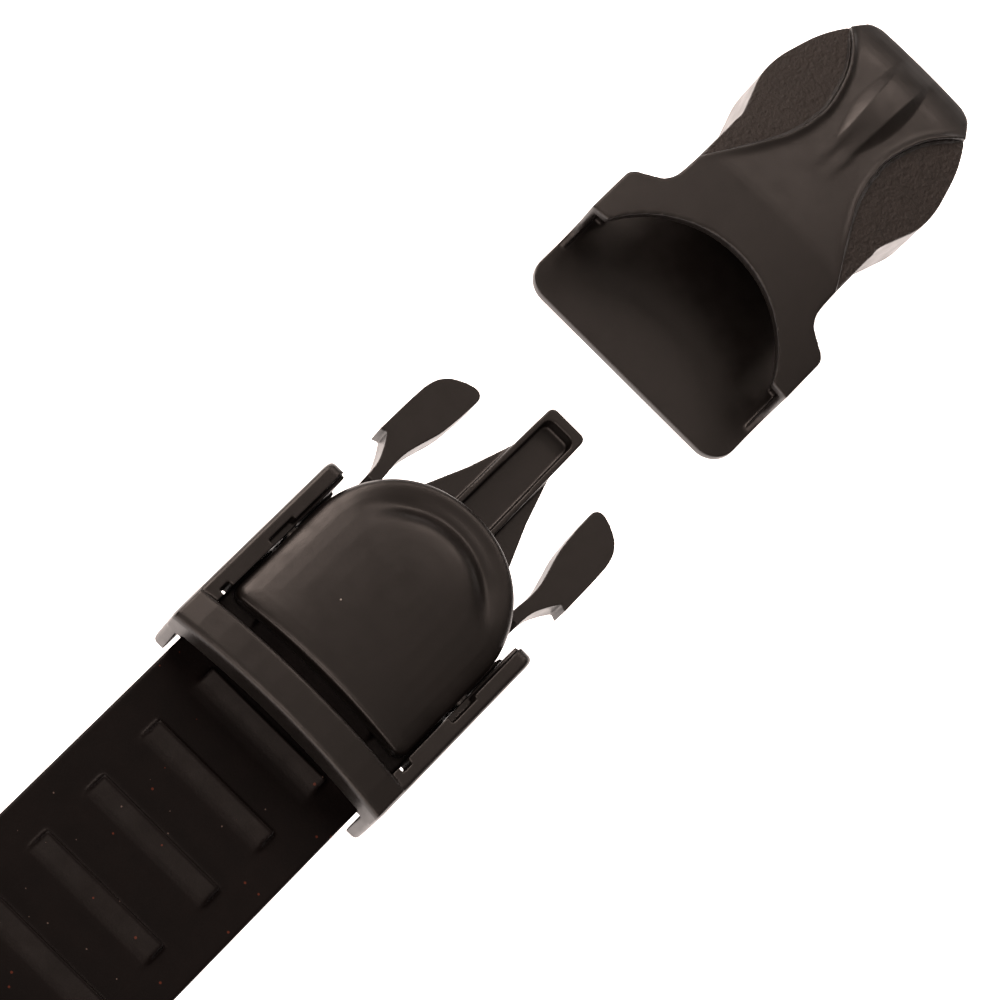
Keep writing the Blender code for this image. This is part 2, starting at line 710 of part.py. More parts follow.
def panel_recess(side):
    """Cuts the shell down under one grip panel."""
    inner = panel_inner(0.0)
    reach = HALF_WIDTH + 1
    outline = at_socket(inner + [(inner[-1][0], reach), (inner[0][0], reach)])
    outline = [(x, side * y) for x, y in outline]
    recess = prism(f"panel_recess_{side}", outline, COVER_UNDERSIDE - 1, TALL + 1)
    kept = make_crown(f"kept_below_{side}", PANEL_STEP + PANEL_THICKNESS + GAP)
    boolean(recess, kept, "DIFFERENCE")
    return recess


def make_panel(side, name, material):
    edge = [(20.6, WAIST_HALF), (BLOCK_START, WAIST_HALF)] + shoulder_half()[1:6]
    outline = [(x, side * y) for x, y in at_socket(panel_inner(GAP) + edge[::-1])]
    panel = prism(name, outline, 1.0, TALL, material)
    boolean(panel, make_crown(f"{name}_top", PANEL_STEP), "INTERSECT")
    boolean(panel, make_crown(f"{name}_under", PANEL_STEP + PANEL_THICKNESS), "DIFFERENCE")
    smooth(panel)
    return panel


def make_socket(material):
    shell = make_cover(material)
    mouth = box(
        "mouth_vault",
        (SOCKET_X - 1, -EAR_INNER, COVER_UNDERSIDE - 1),
        (SOCKET_X + COVER_STEP, EAR_INNER, TALL),
    )
    boolean(mouth, make_crown("vault_crown", COVER_THICKNESS), "INTERSECT")
    boolean(shell, mouth, "DIFFERENCE")
    boolean(shell, make_floor(), "UNION")
    for side in (1, -1):
        boolean(shell, make_ear_wall(side), "UNION")
        boolean(shell, make_fin(side), "UNION")
    boolean(shell, make_block(), "UNION")
    boolean(shell, make_crown("crown", 0.0), "INTERSECT")
    pocket = box(
        "tongue_pocket",
        (SOCKET_X + FIN_START, -FIN_INNER, FLOOR_TOP),
        (SOCKET_X + TONGUE_POCKET_END, FIN_INNER, COVER_UNDERSIDE),
    )
    boolean(shell, pocket, "DIFFERENCE")
    seat = prism(
        "post_seat",
        disc_outline(SOCKET_X + POST_A, 0, POST_SEAT_RADIUS),
        SOCKET_BOTTOM - 1,
        POST_SEAT_TOP,
    )
    boolean(shell, seat, "DIFFERENCE")
    for side in (1, -1):
        boolean(shell, panel_recess(side), "DIFFERENCE")
    smooth(shell)
    return shell


def make_bush(material):
    """Ring in the post seat, with its lower face just inside the belly."""
    outer = POST_SEAT_RADIUS - GAP
    low = socket_belly(SOCKET_X + POST_A + POST_SEAT_RADIUS) + 0.2
    high = POST_SEAT_TOP - GAP
    x = SOCKET_X + POST_A
    bush = prism("post_bush", disc_outline(x, 0, outer), low, high, material)
    boolean(bush, prism("bush_bore", disc_outline(x, 0, BUSH_INNER), low - 1, high + 1), "DIFFERENCE")
    smooth(bush)
    return bush


# ---------------------------------------------------------------- assembly

def main():
    clear_scene()
    nylon = black_nylon()
    grain = grained_panel()
    metal = steel()
    make_strap(strap_rubber())
    make_frame(nylon)
    make_arm(1, "latch_arm_left", nylon)
    make_arm(-1, "latch_arm_right", nylon)
    make_lever(nylon)
    make_pin("lever_axle", AXLE_X, AXLE_Z, AXLE_RADIUS, metal)
    make_pin("strap_bar", BAR_X, BAR_Z, BAR_RADIUS, metal)
    make_spring(metal)
    make_socket(nylon)
    make_panel(1, "grip_panel_left", grain)
    make_panel(-1, "grip_panel_right", grain)
    make_bush(bush_plastic())


main()
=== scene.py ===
"""Looks of the side-release strap buckle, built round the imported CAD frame.

+X runs from the strap to the socket, +Y to the left and +Z up, as in the CAD. Dimensions are in millimetres,
and MM turns them to metres. Each moulded piece is built as a sharp solid, and then mould() rounds its edges.
"""

import json
import math

import bmesh
import bpy
import numpy as np
from mathutils import Euler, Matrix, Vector, noise

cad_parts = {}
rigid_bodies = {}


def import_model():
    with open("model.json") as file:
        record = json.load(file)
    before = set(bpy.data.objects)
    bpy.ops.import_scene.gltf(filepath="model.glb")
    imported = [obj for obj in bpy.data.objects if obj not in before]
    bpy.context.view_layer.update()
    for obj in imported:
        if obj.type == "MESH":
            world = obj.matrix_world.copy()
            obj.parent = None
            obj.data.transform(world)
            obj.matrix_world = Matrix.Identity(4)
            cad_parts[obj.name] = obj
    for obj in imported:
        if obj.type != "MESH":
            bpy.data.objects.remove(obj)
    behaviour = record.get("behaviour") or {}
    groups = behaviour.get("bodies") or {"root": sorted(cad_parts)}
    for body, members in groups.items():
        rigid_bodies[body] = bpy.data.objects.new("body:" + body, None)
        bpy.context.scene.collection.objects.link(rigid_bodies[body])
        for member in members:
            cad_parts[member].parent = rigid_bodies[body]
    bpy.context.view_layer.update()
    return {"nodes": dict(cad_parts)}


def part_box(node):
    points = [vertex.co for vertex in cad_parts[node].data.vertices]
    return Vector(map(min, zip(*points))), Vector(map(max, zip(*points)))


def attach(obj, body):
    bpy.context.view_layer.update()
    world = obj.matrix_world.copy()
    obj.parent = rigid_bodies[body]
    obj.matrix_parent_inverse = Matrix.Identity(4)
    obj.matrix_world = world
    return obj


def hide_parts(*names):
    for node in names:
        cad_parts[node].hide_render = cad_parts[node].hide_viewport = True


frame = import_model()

MM = 0.001


def node_box(node):
    """Lowest and highest corner of a CAD node, in millimetres."""
    low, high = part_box(node)
    return low / MM, high / MM


FRAME_HIGH = node_box("slider_frame")[1]
LEVER_LOW, LEVER_HIGH = node_box("thumb_lever")
SOCKET_LOW, SOCKET_HIGH = node_box("socket_shell")

HALF_WIDTH = FRAME_HIGH.y
FRAME_TOP = 11.5  # of the cheeks and the ears; the crossbar and the crown rise above it

# socket, with a measured along X from the ears' front
FLAP_LENGTH = 7.9
FLAP_CORNER = 3.0
FLAP_EDGE = [(1.3, 0.0), (0.35, 0.45), (0.0, 1.1)]  # inset and height of the rounding under the flap
SOCKET_X = SOCKET_LOW.x + FLAP_LENGTH
SOCKET_LENGTH = SOCKET_HIGH.x - SOCKET_X
SOCKET_BOTTOM = SOCKET_LOW.z
SOCKET_CROWN = SOCKET_HIGH.z - FRAME_TOP
FLOOR_TOP = 4.2
TALL = 15.0  # above everything: uncut height of the solids that the crown trims
EAR_INNER = 12.8
EAR_LENGTH = 7.1
EAR_WALL_END = 5.6
EAR_SWEEP_WIDTH = 0.8  # thickness of an ear wall's front part
EAR_SETBACK = 3.4  # where its full thickness starts
COVER_THICKNESS = 1.2  # over the vaulted mouth
COVER_UNDERSIDE = 9.0  # behind it
COVER_STEP = 9.8
MOUTH_HALF_WIDTH = 12.3
MOUTH_DEPTH = 7.9
WAIST_HALF = 10.4
BLOCK_START = 22.0
TOP_SLOPE_START = 15.0
TOP_SLOPE = 0.06
END_DROP_START = 37.5
END_DROP = 1.2
BELLY_START = 26.0
BELLY_SLOPE = 0.12
FIN_INNER = 3.4
FIN_OUTER = 4.3
FIN_START = 17.5
TONGUE_POCKET_END = 26.6
PANEL_STEP = 0.4
PANEL_THICKNESS = 0.5
POST_A = 34.0
POST_SEAT_RADIUS = 4.6
POST_SEAT_TOP = 7.6
GRAIN_DEPTH = 0.06
KEEL_START = 26.6
KEEL_END = 43.2
KEEL_HEIGHT = 0.6
KEEL_FLANK = 1.5
FOLD_START = 21.5
FOLD_END = KEEL_START + 6.0
FOLD_HEIGHT = 0.13
FOLD_Y = 1.0
FOLD_WIDTH = 0.6
BEAD_HEIGHT = 0.34
BEAD_WIDTH = 0.75
SPINE_LOWEST = 9.4  # all of the spine's top is above it

# thumb lever
LEVER_HALF_WIDTH = LEVER_HIGH.y
LEVER_REAR = LEVER_LOW.x
LEVER_NOSE = LEVER_HIGH.x
LEVER_RIM_BOTTOM = 8.9
LEVER_UNDERSIDE = 9.9
LEVER_TOP = 11.3
LEVER_CROWN = LEVER_HIGH.z - LEVER_TOP
LEVER_UNDER_CROWN = 1.4
LEVER_WALL = 1.7
DISH_RADIUS = 8.9
DISH_WIDTH = 1.35
DISH_DEPTH = 0.85
AXLE_X = 17.2
AXLE_Z = 7.6
AXLE_HOLE = 1.3
HUB_RADIUS = 1.9
HUB_INNER = 9.2
HUB_OUTER = 11.6
PAWL_REAR = 9.6
PAWL_TIP = 8.6
PAWL_HALF_WIDTH = 8.5

# latch arms
ARM_BOTTOM = 4.7
ARM_TOP = 8.2
ARM_ROOT_TOP = 6.6

# light and camera
LAMP_COLOUR = (1.0, 0.80, 0.70)
VIEW_TARGET = (37.63, -0.54, 6.0)  # between the two halves
VIEW_AZIMUTH = 180.56
VIEW_ELEVATION = 62.85
VIEW_ROLL = 44.27
VIEW_DISTANCE = 472.7
VIEW_LENS = 163.3


# ---------------------------------------------------------------- mesh helpers

def add_object(name, bm):
    """Puts a finished bmesh in the scene, with its faces turned out."""
    bmesh.ops.recalc_face_normals(bm, faces=bm.faces)
    mesh = bpy.data.meshes.new(name)
    bm.to_mesh(mesh)
    bm.free()
    obj = bpy.data.objects.new(name, mesh)
    bpy.context.scene.collection.objects.link(obj)
    return obj


def loft(name, rings):
    """Joins closed rings of points, given in millimetres, and caps both ends."""
    bm = bmesh.new()
    loops = [[bm.verts.new(Vector(p) * MM) for p in ring] for ring in rings]
    for low, high in zip(loops, loops[1:]):
        for i in range(len(low)):
            j = (i + 1) % len(low)
            bm.faces.new((low[i], low[j], high[j], high[i]))
    bm.faces.new(loops[0])
    bm.faces.new(loops[-1])
    return add_object(name, bm)


def prism(name, outline, low, high):
    """Stands an XY outline up between two heights, each a number or a function of x."""
    rings = []
    for level in (low, high):
        rings.append([(x, y, level(x) if callable(level) else level) for x, y in outline])
    return loft(name, rings)


def side_prism(name, profile, y_low, y_high):
    """Runs an XZ profile along Y."""
    return loft(name, [[(x, y, z) for x, z in profile] for y in (y_low, y_high)])


def box(name, low, high):
    outline = [(low[0], low[1]), (high[0], low[1]), (high[0], high[1]), (low[0], high[1])]
    return prism(name, outline, low[2], high[2])


def arc(x, y, radius, start, end, steps):
    """Points round a circle, with the angles in degrees and both ends in."""
    return [
        (x + radius * math.cos(math.radians(t)), y + radius * math.sin(math.radians(t)))
        for t in (start + (end - start) * i / steps for i in range(steps + 1))
    ]


def circle(x, y, radius, segments=64):
    return arc(x, y, radius, 0, 360 - 360 / segments, segments - 1)


def curve_through(points, steps=8):
    """A smooth Catmull-Rom line through the points."""
    p = [np.array(q, float) for q in points]
    p = [2 * p[0] - p[1]] + p + [2 * p[-1] - p[-2]]
    line = []
    for a, b, c, d in zip(p, p[1:], p[2:], p[3:]):
        for i in range(steps):
            t = i / steps
            line.append(tuple(0.5 * (2 * b + (c - a) * t + (2 * a - 5 * b + 4 * c - d) * t**2
                                     + (3 * b - a - 3 * c + d) * t**3)))
    return line + [tuple(p[-2])]


def mirrored(half):
    """Closes a half outline, given along +Y from front to back, with its mirror image."""
    return half + [(x, -y) for x, y in reversed(half)]


def boolean(obj, other, operation):
    """Leaves a Boolean on obj, for bake() to apply."""
    mod = obj.modifiers.new(other.name, "BOOLEAN")
    mod.operation = operation
    mod.solver = "EXACT"
    mod.object = other
    other.parent = obj


def bake(obj):
    """Applies the modifiers of an object and removes its cutters."""
    depsgraph = bpy.context.evaluated_depsgraph_get()
    mesh = bpy.data.meshes.new_from_object(obj.evaluated_get(depsgraph))
    obj.modifiers.clear()
    obj.data = mesh
    for child in list(obj.children_recursive):
        bpy.data.objects.remove(child, do_unlink=True)
    return obj


def copy_of(node, name):
    """A new piece that starts from a CAD node's shape."""
    obj = bpy.data.objects.new(name, frame["nodes"][node].data.copy())
    obj.data.materials.clear()
    bpy.context.scene.collection.objects.link(obj)
    return obj


def mould(obj, voxel, rounds):
    """Turns a sharp solid into a fine even mesh with its edges rounded, as moulding leaves them."""
    bake(obj)
    remesh = obj.modifiers.new("voxels", "REMESH")
    remesh.mode = "VOXEL"
    remesh.voxel_size = voxel * MM
    soften = obj.modifiers.new("soften", "SMOOTH")
    soften.factor = 0.5
    soften.iterations = rounds
    return bake(obj)


def lighten(obj, faces):
    """Thins a fine mesh of quads out to about so many triangles, where it is flat first."""
    have = 2 * len(obj.data.polygons)
    if have > faces:
        thin = obj.modifiers.new("thin", "DECIMATE")
        thin.ratio = faces / have
        bake(obj)
    obj.data.shade_smooth()
    return obj


def reshape(obj, shift):
    """Moves each point by shift(points, normals), all in millimetres."""
    mesh = obj.data
    count = len(mesh.vertices)
    co = np.empty(count * 3)
    mesh.vertices.foreach_get("co", co)
    normals = np.empty(count * 3)
    mesh.vertex_normals.foreach_get("vector", normals)
    points = co.reshape(-1, 3) / MM
    points = points + shift(points, normals.reshape(-1, 3))
    mesh.vertices.foreach_set("co", (points * MM).ravel())
    mesh.update()
    return obj


def step(value, low, high):
    """Smooth step from 0 at low to 1 at high."""
    t = np.clip((value - low) / (high - low), 0.0, 1.0)
    return t * t * (3 - 2 * t)


def place(obj, body, slot, material, *nodes):
    """Puts a finished piece on its body in place of its CAD nodes."""
    obj.data.materials.clear()
    obj.data.materials.append(material)
    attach(obj, body)
    if nodes:
        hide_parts(*nodes)


# ---------------------------------------------------------------- materials

def new_material(name):
    """A Principled material, as (material, nodes, links, shader)."""
    mat = bpy.data.materials.new(name)
    mat.use_nodes = True
    return mat, mat.node_tree.nodes, mat.node_tree.links, mat.node_tree.nodes["Principled BSDF"]


def ramp(nodes, links, source, stops):
    """Colour ramp over a value, with stops of (position, colour)."""
    node = nodes.new("ShaderNodeValToRGB")
    elements = node.color_ramp.elements
    while len(elements) < len(stops):
        elements.new(0.5)
    for element, (position, colour) in zip(elements, stops):
        element.position = position
        element.color = (*colour, 1.0)
    links.new(source, node.inputs["Fac"])
    return node.outputs["Color"]


def grey(value):
    return (value, value, value)


def object_noise(nodes, links, per_mm, detail=2.0, rough=0.5):
    """Noise in the piece's own coordinates, with so many features to the millimetre."""
    coords = nodes.new("ShaderNodeTexCoord")
    texture = nodes.new("ShaderNodeTexNoise")
    texture.inputs["Scale"].default_value = per_mm / MM
    texture.inputs["Detail"].default_value = detail
    texture.inputs["Roughness"].default_value = rough
    links.new(coords.outputs["Object"], texture.inputs["Vector"])
    return texture.outputs["Fac"]


def specks(nodes, links, per_mm, size, share):
    """1 on sparse small dots, 0 elsewhere: dust that sits in some cells of a Voronoi pattern."""
    coords = nodes.new("ShaderNodeTexCoord")
    cells = nodes.new("ShaderNodeTexVoronoi")
    cells.inputs["Scale"].default_value = per_mm / MM
    links.new(coords.outputs["Object"], cells.inputs["Vector"])
    near = nodes.new("ShaderNodeMath")
    near.operation = "LESS_THAN"
    near.inputs[1].default_value = size
    links.new(cells.outputs["Distance"], near.inputs[0])
    chosen = nodes.new("ShaderNodeSeparateColor")
    links.new(cells.outputs["Color"], chosen.inputs["Color"])
    some = nodes.new("ShaderNodeMath")
    some.operation = "LESS_THAN"
    some.inputs[1].default_value = share
    links.new(chosen.outputs["Red"], some.inputs[0])
    both = nodes.new("ShaderNodeMath")
    both.operation = "MULTIPLY"
    links.new(near.outputs["Value"], both.inputs[0])
    links.new(some.outputs["Value"], both.inputs[1])
    return both.outputs["Value"]


def mix_colour(nodes, links, factor, low, high):
    """Mixes two colours, of which each is a socket or a plain colour."""
    mix = nodes.new("ShaderNodeMix")
    mix.data_type = "RGBA"
    links.new(factor, mix.inputs["Factor"])
    for socket, value in ((mix.inputs[6], low), (mix.inputs[7], high)):
        if isinstance(value, tuple):
            socket.default_value = (*value, 1.0)
        else:
            links.new(value, socket)
    return mix.outputs[2]


def add_bump(nodes, links, shader, layers):
    """Stacks bump layers, each (height socket, depth in millimetres)."""
    below = None
    for height, depth in layers:
        bump = nodes.new("ShaderNodeBump")
        bump.inputs["Strength"].default_value = 1.0
        bump.inputs["Distance"].default_value = depth * MM
        links.new(height, bump.inputs["Height"])
        if below is not None:
            links.new(below, bump.inputs["Normal"])
        below = bump.outputs["Normal"]
    links.new(below, shader.inputs["Normal"])


def moulded_plastic(name, dark, light, roughness, dust):
    """Satin black moulding: spark-fine texture, faint flow marks and a little dust."""
    mat, nodes, links, shader = new_material(name)
    flow = object_noise(nodes, links, 0.12, 3.0, 0.6)
    colour = ramp(nodes, links, flow, [(0.3, dark), (0.75, light)])
    colour = mix_colour(nodes, links, specks(nodes, links, 0.45, 0.05, dust), colour, (0.35, 0.33, 0.31))
    links.new(colour, shader.inputs["Base Color"])
    sheen = object_noise(nodes, links, 0.5, 2.0, 0.5)
    rough = ramp(nodes, links, sheen, [(0.3, grey(roughness - 0.04)), (0.7, grey(roughness + 0.05))])
    links.new(rough, shader.inputs["Roughness"])
    fine = object_noise(nodes, links, 9.0, 2.0, 0.6)
    add_bump(nodes, links, shader, [(fine, 0.006)])
    return mat


def grained_plastic():
    """The grip panels' leather grain, whose large cells are in the mesh and whose pores are here."""
    mat, nodes, links, shader = new_material("grained_panel")
    tone = object_noise(nodes, links, 0.6, 3.0, 0.6)
    colour = ramp(nodes, links, tone, [(0.3, (0.014, 0.011, 0.0095)), (0.75, (0.020, 0.0155, 0.0135))])
    links.new(colour, shader.inputs["Base Color"])
    shader.inputs["Roughness"].default_value = 0.55
    folds = object_noise(nodes, links, 1.8, 4.0, 0.6)
    pores = object_noise(nodes, links, 5.0, 3.0, 0.65)
    add_bump(nodes, links, shader, [(folds, 0.22), (pores, 0.03)])
    return mat


def rubber():
    """Matte strap rubber with a mottled bloom, light dust and a few reddish specks."""
    mat, nodes, links, shader = new_material("strap_rubber")
    bloom = object_noise(nodes, links, 0.25, 4.0, 0.65)
    colour = ramp(nodes, links, bloom, [(0.3, (0.0026, 0.0017, 0.0017)), (0.75, (0.0050, 0.0032, 0.0030))])
    light = specks(nodes, links, 1.1, 0.10, 0.12)
    colour = mix_colour(nodes, links, light, colour, (0.12, 0.09, 0.08))
    red = specks(nodes, links, 0.8, 0.12, 0.14)
    colour = mix_colour(nodes, links, red, colour, (0.09, 0.022, 0.012))
    links.new(colour, shader.inputs["Base Color"])
    shader.inputs["Specular IOR Level"].default_value = 0.13
    worn = object_noise(nodes, links, 0.35, 3.0, 0.6)
    rough = ramp(nodes, links, worn, [(0.3, grey(0.36)), (0.7, grey(0.46))])
    links.new(rough, shader.inputs["Roughness"])
    skin = object_noise(nodes, links, 3.5, 3.0, 0.6)
    add_bump(nodes, links, shader, [(skin, 0.015)])
    return mat


def steel():
    """Blackened steel wire and pin, with fine drawing marks along Y."""
    mat, nodes, links, shader = new_material("steel")
    coords = nodes.new("ShaderNodeTexCoord")
    stretch = nodes.new("ShaderNodeMapping")
    stretch.inputs["Scale"].default_value = (9.0 / MM, 0.6 / MM, 9.0 / MM)
    links.new(coords.outputs["Object"], stretch.inputs["Vector"])
    lines = nodes.new("ShaderNodeTexNoise")
    lines.inputs["Scale"].default_value = 1.0
    links.new(stretch.outputs["Vector"], lines.inputs["Vector"])
    colour = ramp(nodes, links, lines.outputs["Fac"], [(0.3, grey(0.05)), (0.7, grey(0.09))])
    links.new(colour, shader.inputs["Base Color"])
    rough = ramp(nodes, links, lines.outputs["Fac"], [(0.3, grey(0.26)), (0.7, grey(0.38))])
    links.new(rough, shader.inputs["Roughness"])
    shader.inputs["Metallic"].default_value = 1.0
    add_bump(nodes, links, shader, [(lines.outputs["Fac"], 0.004)])
    return mat


# ---------------------------------------------------------------- socket

def at_socket(points):
    """Moves an outline drawn from the ears' front to its place on the part."""
    return [(SOCKET_X + a, y) for a, y in points]


def socket_top(a, y):
    """Height of the top: crowned across, falling to the far end, where it rounds over."""
    fall = TOP_SLOPE * max(a - TOP_SLOPE_START, 0.0)
    end = END_DROP * (max(a - END_DROP_START, 0.0) / (SOCKET_LENGTH - END_DROP_START)) ** 2
    return FRAME_TOP + SOCKET_CROWN * (1 - (y / HALF_WIDTH) ** 2) - fall - end


def make_crown(name, drop):
    """Everything below the socket's top surface, lowered by a drop."""
    reach = HALF_WIDTH + 1.5
    across = [-reach + 2 * reach * i / 48 for i in range(49)]
    first, last = -FLAP_LENGTH - 2, SOCKET_LENGTH + 2
    rings = []
    for i in range(62):
        a = first + (last - first) * i / 61
        ring = [(SOCKET_X + a, y, socket_top(a, y) - drop) for y in across]
        rings.append([(SOCKET_X + a, reach, 0.0)] + ring[::-1] + [(SOCKET_X + a, -reach, 0.0)])
    return loft(name, rings)


def shoulder_half():
    """Outer edge of the rear block, from the waist to the rounded far end."""
    waist = [(20.5, WAIST_HALF), (BLOCK_START, WAIST_HALF + 0.05), (24.5, 11.2)]
    shoulder = [(27.5, 12.05), (30.5, 12.1), (34.0, 11.4), (37.0, 10.5), (40.2, 9.0)]
    edge = curve_through(waist + shoulder)
    return edge + arc(SOCKET_LENGTH - 2.9, 5.6, 2.9, 50, 0, 10)


def front_half():
    """Outer edge of the ears: a rounded rear corner and a hollow sweep in to the waist."""
    corner = arc(EAR_LENGTH - 1.4, HALF_WIDTH - 1.5, 1.5, 90, 25, 8)
    sweep = curve_through([corner[-1], (7.7, 12.5), (8.5, 11.3), (9.9, 10.6), (12.5, WAIST_HALF)])
    return corner[:-1] + sweep


def make_cover():
    """Top plate with the arc of the mouth cut in its front edge."""
    radius = (MOUTH_HALF_WIDTH**2 + MOUTH_DEPTH**2) / (2 * MOUTH_DEPTH)
    swing = math.degrees(math.asin(MOUTH_HALF_WIDTH / radius))
    mouth = arc(MOUTH_DEPTH - radius, 0, radius, -swing, swing, 90)
    tip = [(0.0, HALF_WIDTH - 0.7), (0.25, HALF_WIDTH - 0.2), (0.8, HALF_WIDTH)]
    half = tip + front_half() + shoulder_half()
    back = [(a, -y) for a, y in reversed(half)]
    return prism("socket_body", at_socket(mouth + half + back), COVER_UNDERSIDE, TALL)


def make_floor():
    """Bottom plate: the flap in front of the mouth, rounded below, and the floor under the waist."""
    rings = []
    levels = [(inset, SOCKET_BOTTOM + rise) for inset, rise in FLAP_EDGE]
    for inset, z in levels + [(0.0, FLOOR_TOP)]:
        half = arc(-FLAP_LENGTH + FLAP_CORNER, HALF_WIDTH - FLAP_CORNER, FLAP_CORNER - inset, 180, 90, 14)
        half += front_half() + [(BLOCK_START + 1, WAIST_HALF)]
        rings.append([(x, y, z) for x, y in at_socket(mirrored(half))])
    return loft("floor_plate", rings)


def make_ear_wall(side):
    """Side wall of the mouth. Its thin outer part sweeps in front from the ear's tip down to the flap."""
    floor = FLOOR_TOP - 0.5
    back = SOCKET_X + EAR_WALL_END
    sweep = curve_through([(0.0, 7.0), (-0.25, 6.0), (-0.8, 5.2), (-1.7, 4.5), (-3.0, floor)])
    profile = [(SOCKET_X + a, z) for a, z in [(0.0, TALL)] + sweep] + [(back, floor), (back, TALL)]
    low, high = sorted((side * (HALF_WIDTH - EAR_SWEEP_WIDTH), side * HALF_WIDTH))
    wall = side_prism(f"ear_wall_{side}", profile, low, high)
    low, high = sorted((side * EAR_INNER, side * (HALF_WIDTH - 0.2)))
    start = SOCKET_X + EAR_SETBACK
    boolean(wall, box(f"ear_root_{side}", (start, low, floor), (back, high, TALL)), "UNION")
    return wall


def belly(x):
    """Height of the underside, which rises towards the far end."""
    return SOCKET_BOTTOM + BELLY_SLOPE * max(x - SOCKET_X - BELLY_START, 0.0)


def make_block():
    """Solid rear part with the shoulders."""
    half = [(a, y) for a, y in shoulder_half() if a > BLOCK_START]
    return prism("rear_block", at_socket(mirrored([(BLOCK_START, WAIST_HALF)] + half)), belly, TALL)


def make_fin(side):
    """Rib inside the shell, beside the slider's tongue."""
    low, high = sorted((side * FIN_INNER, side * FIN_OUTER))
    start, end = SOCKET_X + FIN_START, SOCKET_X + BLOCK_START + 1
    return box(f"fin_{side}", (start, low, FLOOR_TOP - 0.5), (end, high, COVER_UNDERSIDE + 0.5))


def panel_inner(gap):
    """The hourglass spine's edge, drawn outwards by a gap, from the waist to the far end."""
    waist = [(13.4, WAIST_HALF), (15.8, 9.1), (19.0, 7.3), (23.5, 5.3)]
    flare = [(27.5, 4.5), (31.0, 4.6), (35.8, 6.0), (40.3, 8.9)]
    return [(a, y + gap) for a, y in curve_through(waist + flare)]


def panel_recess(side):
    """Cuts the shell down under one grip panel."""
    inner = panel_inner(0.0)
    reach = HALF_WIDTH + 1
    outline = [(x, side * y) for x, y in at_socket(inner + [(inner[-1][0], reach), (inner[0][0], reach)])]
    recess = prism(f"panel_recess_{side}", outline, COVER_UNDERSIDE - 1, TALL + 1)
    boolean(recess, make_crown(f"kept_below_{side}", PANEL_STEP + PANEL_THICKNESS / 2), "DIFFERENCE")
    return recess


def keel(a, y):
    """Height of the raised keel along the centre line, whose two flanks are pointed lenses."""
    along = np.clip((a - KEEL_START) / (KEEL_END - KEEL_START), 0.0, 1.0)
    lens = np.sin(np.pi * along**0.9)
    crest = 1.1 + 0.8 * along
    flank = np.clip((crest + KEEL_FLANK * lens - np.abs(y)) / (KEEL_FLANK * lens + 0.05), 0.0, 1.0)
    return KEEL_HEIGHT * lens**1.8 * flank**1.3


def fold(a, y):
    """Height of the two faint folds that lead from the keel towards the mouth."""
    along = (a - FOLD_START) / (FOLD_END - FOLD_START)
    fade = step(along, 0.0, 0.5) * (1 - step(along, 0.5, 1.0))
    return FOLD_HEIGHT * fade * np.exp(-(((np.abs(y) - FOLD_Y) / FOLD_WIDTH) ** 2))


def bead(a, y):
    """Height of the raised edge that the spine keeps beside each panel."""
    line = np.array(panel_inner(0.0))
    inside = np.interp(a, line[:, 0], line[:, 1]) - np.abs(y)
    ends = step(a, line[0, 0] - 0.5, line[0, 0] + 7.0) * (1 - step(a, line[-1, 0] - 2.0, line[-1, 0] + 0.5))
    return BEAD_HEIGHT * ends * np.exp(-((inside / BEAD_WIDTH) ** 2)) * (inside > -0.4)


def carve_spine(points, normals):
    """The keel and folds on the top of the spine, and the beads along its edges."""
    a = points[:, 0] - SOCKET_X
    y = points[:, 1]
    on_top = (normals[:, 2] > 0.3) & (points[:, 2] > SPINE_LOWEST)
    shift = np.zeros_like(points)
    shift[:, 2] = np.where(on_top, bead(a, y) + keel(a, y) + fold(a, y), 0.0)
    return shift


def make_socket():
    """The socket's shell, hollowed from the mouth to the tongue's pocket."""
    shell = make_cover()
    mouth_low = (SOCKET_X - 1, -EAR_INNER, COVER_UNDERSIDE - 1)
    mouth = box("mouth_vault", mouth_low, (SOCKET_X + COVER_STEP, EAR_INNER, TALL))
    ear_reach = HALF_WIDTH - EAR_SWEEP_WIDTH
    ear_low = (SOCKET_X - 1, -ear_reach, COVER_UNDERSIDE - 1)
    boolean(mouth, box("ear_vault", ear_low, (SOCKET_X + EAR_SETBACK, ear_reach, TALL)), "UNION")
    boolean(mouth, make_crown("vault_crown", COVER_THICKNESS), "INTERSECT")
    boolean(shell, mouth, "DIFFERENCE")
    boolean(shell, make_floor(), "UNION")
    for side in (1, -1):
        boolean(shell, make_ear_wall(side), "UNION")
        boolean(shell, make_fin(side), "UNION")
    boolean(shell, make_block(), "UNION")
    boolean(shell, make_crown("crown", 0.0), "INTERSECT")
    pocket_low = (SOCKET_X + FIN_START, -FIN_INNER, FLOOR_TOP)
    pocket_high = (SOCKET_X + TONGUE_POCKET_END, FIN_INNER, COVER_UNDERSIDE)
    boolean(shell, box("tongue_pocket", pocket_low, pocket_high), "DIFFERENCE")
    seat = circle(SOCKET_X + POST_A, 0, POST_SEAT_RADIUS)
    boolean(shell, prism("post_seat", seat, SOCKET_BOTTOM - 1, POST_SEAT_TOP), "DIFFERENCE")
    for side in (1, -1):
        boolean(shell, panel_recess(side), "DIFFERENCE")
    mould(shell, 0.14, 8)
    reshape(shell, carve_spine)
    return lighten(shell, 150000)


def grain(points, normals):
    """Leather grain: rounded cells with creases between them, on the panel's top."""
    shift = np.zeros_like(points)
    for i, (x, y, z) in enumerate(points):
        if normals[i, 2] < 0.3:
            continue
        wander = noise.noise(Vector((x, y, z)) * 0.9) * 0.5
        distances, _ = noise.voronoi(Vector((x * 2.0 + wander, y * 2.5 - wander, 3.0)))
        seam = min((distances[1] - distances[0]) / 0.4, 1.0)
        shift[i] = normals[i] * GRAIN_DEPTH * (seam - 1)
    return shift


